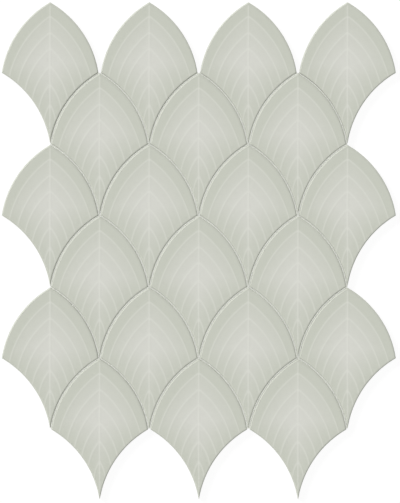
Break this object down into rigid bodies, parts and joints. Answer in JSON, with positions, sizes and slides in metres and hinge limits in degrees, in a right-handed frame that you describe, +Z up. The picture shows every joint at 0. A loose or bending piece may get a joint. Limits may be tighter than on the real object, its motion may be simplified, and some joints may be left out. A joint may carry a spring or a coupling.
{
  "type": "fish scale mosaic tile sheet",
  "caption": "Flat mosaic sheet of glazed leaf-veined fish scale tiles, nested in staggered rows on a backing net, for covering a wall or floor.",
  "frame": {"origin": "centre of the sheet's outline box, on the underside of the backing net", "axes": "+Z up through the glazed faces, +Y towards the arched tips of the scales, +X along a row"},
  "size_m": [0.2504, 0.316, 0.0075],
  "materials": {
    "glazed_tile": "pale grey green glaze with lighter leaf veins",
    "net": "pale see-through glass fibre yarn in clear resin"
  },
  "bodies": {
    "root": {"tile_row_1_scale_1": "glazed_tile", "tile_row_1_scale_2": "glazed_tile", "tile_row_1_scale_3": "glazed_tile", "tile_row_1_scale_4": "glazed_tile", "tile_row_2_scale_1": "glazed_tile", "tile_row_2_scale_2": "glazed_tile", "tile_row_2_scale_3": "glazed_tile", "tile_row_3_scale_1": "glazed_tile", "tile_row_3_scale_2": "glazed_tile", "tile_row_3_scale_3": "glazed_tile", "tile_row_3_scale_4": "glazed_tile", "tile_row_4_scale_1": "glazed_tile", "tile_row_4_scale_2": "glazed_tile", "tile_row_4_scale_3": "glazed_tile", "tile_row_5_scale_1": "glazed_tile", "tile_row_5_scale_2": "glazed_tile", "tile_row_5_scale_3": "glazed_tile", "tile_row_5_scale_4": "glazed_tile", "tile_row_6_scale_1": "glazed_tile", "tile_row_6_scale_2": "glazed_tile", "tile_row_6_scale_3": "glazed_tile", "backing_net": "net"}
  },
  "joints": []
}
